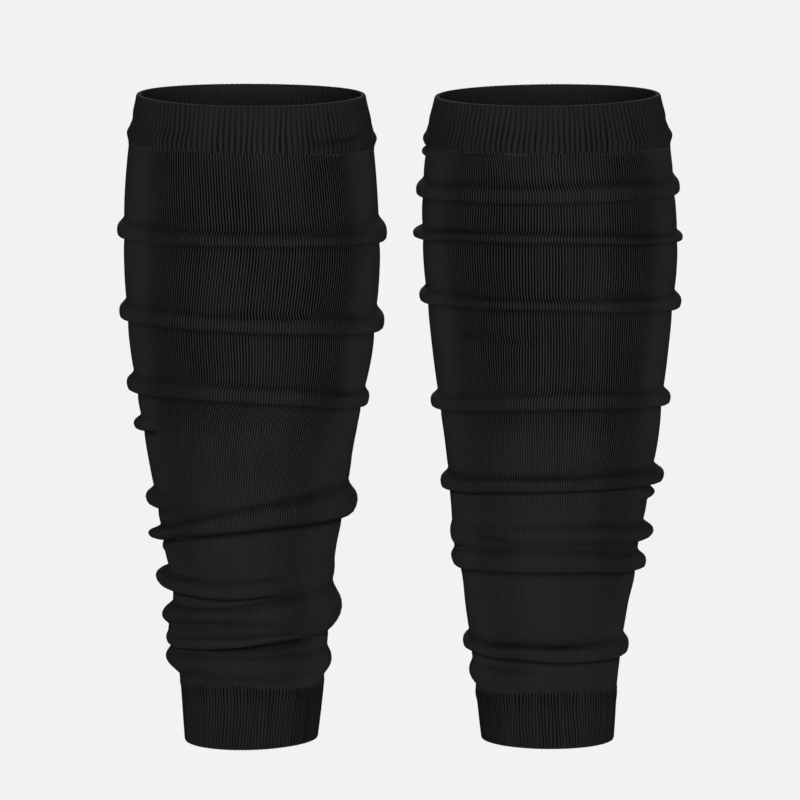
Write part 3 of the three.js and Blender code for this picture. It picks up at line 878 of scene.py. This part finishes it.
def knit_material(name, yarn, groove, fuzz):
    """Matte black yarn with shade painted in its grooves and creases, stitches and uneven dye.

    groove gives the distances from the middle of a rib, in rib widths, where the shade painted in its
    groove starts and where it is full, and fuzz is how much its fibres catch light along the outline.
    """
    material, nodes, links, shader = new_material(name)
    shader.inputs["Roughness"].default_value = YARN_ROUGHNESS
    shader.inputs["Specular IOR Level"].default_value = KNIT_SPECULAR
    shader.inputs["Sheen Weight"].default_value = fuzz
    shader.inputs["Sheen Roughness"].default_value = FUZZ_ROUGHNESS
    uv = nodes.new("ShaderNodeUVMap")
    uv.uv_map = "Knit"
    split = nodes.new("ShaderNodeSeparateXYZ")
    links.new(uv.outputs["UV"], split.inputs["Vector"])
    wale = math_node(nodes, links, "FRACT", split.outputs["X"])
    from_middle = math_node(nodes, links, "ABSOLUTE", math_node(nodes, links, "SUBTRACT", wale, 0.5))
    in_groove = ramp(nodes, links, from_middle, *groove)
    slanted = math_node(nodes, links, "MULTIPLY_ADD", from_middle, -ROW_SLANT, split.outputs["Y"])
    wave = math_node(nodes, links, "SINE", math_node(nodes, links, "MULTIPLY", slanted, TURN))

    place = nodes.new("ShaderNodeTexCoord").outputs["Object"]
    cloudy = noise(nodes, links, place, CLOUD_SCALE, 3.0)
    streaks = noise(nodes, links, scaled(nodes, links, uv.outputs["UV"], *STREAK_SCALE), 1.0, 2.0)
    streaked = varied(nodes, links, streaks, STREAK_TONE)
    # painted shade: in the grooves as far as the knit gapes, and over creases, roll starts, wrinkles and a
    # cuff's sides
    painted_groove_shade = math_node(nodes, links, "MULTIPLY", attribute(nodes, "painted_groove_shade"), streaked)
    darkness = math_node(nodes, links, "MULTIPLY", in_groove, painted_groove_shade)
    darkness = math_node(nodes, links, "MAXIMUM", darkness, attribute(nodes, "crease"))
    darkness = math_node(nodes, links, "MINIMUM", darkness, 1.0)
    in_rows = math_node(nodes, links, "MULTIPLY_ADD", wave, ROW_TONE, 1.0)
    tone = math_node(nodes, links, "MULTIPLY", varied(nodes, links, cloudy, CLOUD_TONE), in_rows)
    tone = math_node(nodes, links, "MULTIPLY", tone, streaked)
    shadow = tuple(SHADOW_SHARE * channel for channel in yarn)
    links.new(shader_colour(nodes, links, yarn, shadow, darkness, tone), shader.inputs["Base Color"])

    rows = math_node(nodes, links, "MULTIPLY", wave, ROW_RELIEF)
    height = math_node(nodes, links, "SUBTRACT", rows, in_groove)
    bump = nodes.new("ShaderNodeBump")
    bump.inputs["Strength"].default_value = 1.0
    bump.inputs["Distance"].default_value = BUMP_DEPTH
    links.new(height, bump.inputs["Height"])
    links.new(bump.outputs["Normal"], shader.inputs["Normal"])
    return material


def yarn_material(name, yarn):
    material, _, _, shader = new_material(name)
    shader.inputs["Base Color"].default_value = (*yarn, 1)
    shader.inputs["Roughness"].default_value = YARN_ROUGHNESS
    shader.inputs["Specular IOR Level"].default_value = STITCH_SPECULAR
    return material


# Build
def tube(leg, material):
    name = f"{leg['side']}_tube_knit"
    piece = open_shell(name, tube_outside(leg), tube_inside(leg), material)
    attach(piece, "root")
    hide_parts(f"{leg['side']}_leg_tube")
    return piece


def top_band(leg, material):
    cloth = ribbed_band(leg, band_levels(leg), (FREE_EDGE, SEAM_EDGE), relief=0.4, seed=30, lean=0.0)
    piece = looped_shell(f"{leg['side']}_band_knit", cloth, material)
    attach(piece, "root")
    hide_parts(f"{leg['side']}_top_band")
    return piece


def ankle_cuff(leg, material):
    lean = leg["folds"][-1]["lean"]
    cloth = ribbed_band(leg, cuff_levels(leg), (SEAM_EDGE, FREE_EDGE), relief=0.55, seed=40, lean=lean,
                        side_shade=0.35)
    piece = looped_shell(f"{leg['side']}_cuff_knit", cloth, material)
    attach(piece, "root")
    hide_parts(f"{leg['side']}_ankle_cuff")
    return piece


# Stage, in metres
CAMERA_ELEVATION = 7.0  # in degrees
CAMERA_DISTANCE = 5.5
VIEW_WIDTH = 0.3904  # what the picture shows at the legs
VIEW_CENTRE = Vector((0.0, 0.0, -0.1377))
SENSOR_WIDTH = 36.0
FAR_CLIP = 60
BACKGROUND = 0.888  # how bright the studio is below and at eye level
OVERHEAD = 0.3  # and overhead
OVERHEAD_SPAN = (0.15, 0.8)  # the heights between which it darkens, as shares of straight up
FLOOR_Z = -0.42  # where the wearer's feet would stand
FLOOR_SIZE = 40.0
LIGHTS = [
    # name, place, size, power
    ("front", (0.1, -3.8, 0.45), (1.3, 1.0), 850),
    ("low", (-0.1, -3.4, -1.2), (1.2, 0.7), 110),
    ("back", (0.0, 3.2, 2.6), (1.0, 0.8), 1000),
]


def aim(obj, target):
    direction = obj.location - target
    obj.rotation_euler = direction.to_track_quat("Z", "Y").to_euler()


def add_camera():
    data = bpy.data.cameras.new("camera")
    data.sensor_width = SENSOR_WIDTH
    data.lens = SENSOR_WIDTH * CAMERA_DISTANCE / VIEW_WIDTH
    data.clip_end = FAR_CLIP
    camera = bpy.data.objects.new("camera", data)
    bpy.context.scene.collection.objects.link(camera)
    tilt = math.radians(CAMERA_ELEVATION)
    camera.location = VIEW_CENTRE + CAMERA_DISTANCE * Vector((0, -math.cos(tilt), math.sin(tilt)))
    aim(camera, VIEW_CENTRE)
    bpy.context.scene.camera = camera


def add_light(name, place, size, power):
    data = bpy.data.lights.new(name, "AREA")
    data.shape = "RECTANGLE"
    data.size, data.size_y = size
    data.energy = power
    light = bpy.data.objects.new(name, data)
    bpy.context.scene.collection.objects.link(light)
    light.location = Vector(place)
    aim(light, VIEW_CENTRE)


def add_world():
    """A studio that is evenly white below and at eye level and darker overhead."""
    world = bpy.data.worlds.new("studio")
    world.use_nodes = True
    nodes, links = world.node_tree.nodes, world.node_tree.links
    split = nodes.new("ShaderNodeSeparateXYZ")
    links.new(nodes.new("ShaderNodeTexCoord").outputs["Generated"], split.inputs["Vector"])
    overhead = ramp(nodes, links, split.outputs["Z"], *OVERHEAD_SPAN)
    strength = math_node(nodes, links, "MULTIPLY_ADD", overhead, OVERHEAD - BACKGROUND, BACKGROUND)
    background = nodes["Background"]
    background.inputs["Color"].default_value = (1, 1, 1, 1)
    links.new(strength, background.inputs["Strength"])
    bpy.context.scene.world = world
    bpy.context.scene.view_settings.view_transform = "Standard"


def add_floor():
    """A pale floor, as evenly white as the studio round it, that lets the low light through."""
    half = FLOOR_SIZE / 2
    corners = [(x * half, y * half, FLOOR_Z) for x, y in ((-1, -1), (1, -1), (1, 1), (-1, 1))]
    mesh = bpy.data.meshes.new("floor")
    mesh.from_pydata(corners, [], [(0, 1, 2, 3)])
    material, nodes, links, _ = new_material("floor")
    glow = nodes.new("ShaderNodeEmission")
    glow.inputs["Strength"].default_value = BACKGROUND
    links.new(glow.outputs["Emission"], nodes["Material Output"].inputs["Surface"])
    mesh.materials.append(material)
    floor = bpy.data.objects.new("floor", mesh)
    floor.visible_shadow = False
    bpy.context.scene.collection.objects.link(floor)


TUBE_YARN = (0.0041, 0.0041, 0.0041)
RIB_YARN = (0.0024, 0.0024, 0.0024)
BAND_LINK_YARN = (0.0033, 0.0033, 0.0033)
CUFF_LINK_YARN = (0.0022, 0.0022, 0.0022)
tube_knit = knit_material("tube_knit", TUBE_YARN, groove=(0.06, 0.30), fuzz=0.0015)
rib_knit = knit_material("rib_knit", RIB_YARN, groove=(0.20, 0.44), fuzz=0.0005)
band_link_yarn = yarn_material("band_link_yarn", BAND_LINK_YARN)
cuff_link_yarn = yarn_material("cuff_link_yarn", CUFF_LINK_YARN)
for leg in (RIGHT_LEG, LEFT_LEG):
    top_band(leg, rib_knit)
    tube(leg, tube_knit)
    ankle_cuff(leg, rib_knit)
    linking_stitches(leg, leg["band_seam"], "band_stitches", band_link_yarn, seed=50, lean=0.0, out=0.05)
    linking_stitches(leg, leg["cuff_seam"], "cuff_stitches", cuff_link_yarn, seed=60,
                     lean=leg["folds"][-1]["lean"], out=0.05)

add_camera()
add_world()
add_floor()
for light in LIGHTS:
    add_light(*light)
